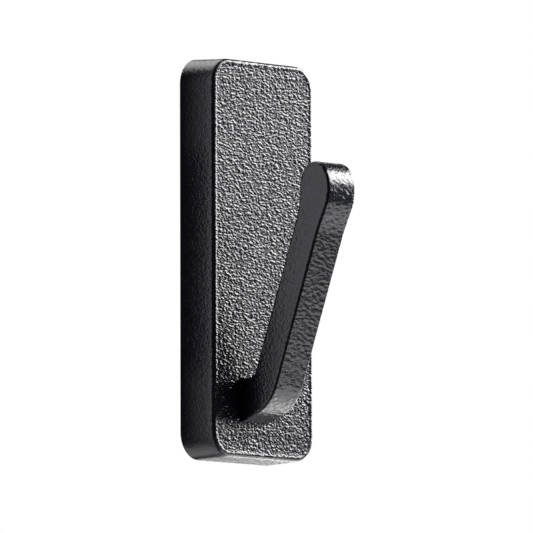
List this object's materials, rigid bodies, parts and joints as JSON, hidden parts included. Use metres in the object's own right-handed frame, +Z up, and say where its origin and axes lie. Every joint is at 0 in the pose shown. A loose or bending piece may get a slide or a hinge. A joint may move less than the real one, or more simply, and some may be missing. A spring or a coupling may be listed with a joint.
{
  "type": "wall hook",
  "caption": "Wall hook with a leaning flat arm on a rounded rectangular cover that hangs on a concealed bracket and is locked by a side set screw.",
  "frame": {"origin": "midway between the bracket's two screw holes, on the bracket's back face, which lies on the wall", "axes": "+Z up, +Y into the wall, the front and the arm face -Y, +X to the right of a person facing the hook"},
  "size_m": [0.031, 0.0317, 0.08],
  "materials": {
    "cover_black": "coarse wrinkled powder coat, semi-gloss",
    "arm_black": "finely wrinkled powder coat, semi-gloss",
    "zinc_plated": "bright zinc plate",
    "bracket_steel": "rolled sheet, lengthwise grain",
    "black_oxide": "black oxide"
  },
  "bodies": {
    "bracket": {"wall_bracket": "bracket_steel"},
    "hook": {"cover": "cover_black", "arm": "arm_black", "arm_washer": "zinc_plated", "spring_washer": "zinc_plated", "arm_screw": "zinc_plated"},
    "lock": {"set_screw": "black_oxide"}
  },
  "joints": [
    {"name": "cover_lift", "type": "slide", "parent": "bracket", "child": "hook", "axis": [0, 0, 1], "range_m": [0, 0.003]},
    {"name": "set_screw_out", "type": "slide", "parent": "hook", "child": "lock", "axis": [1, 0, 0], "range_m": [0, 0.0021]}
  ]
}
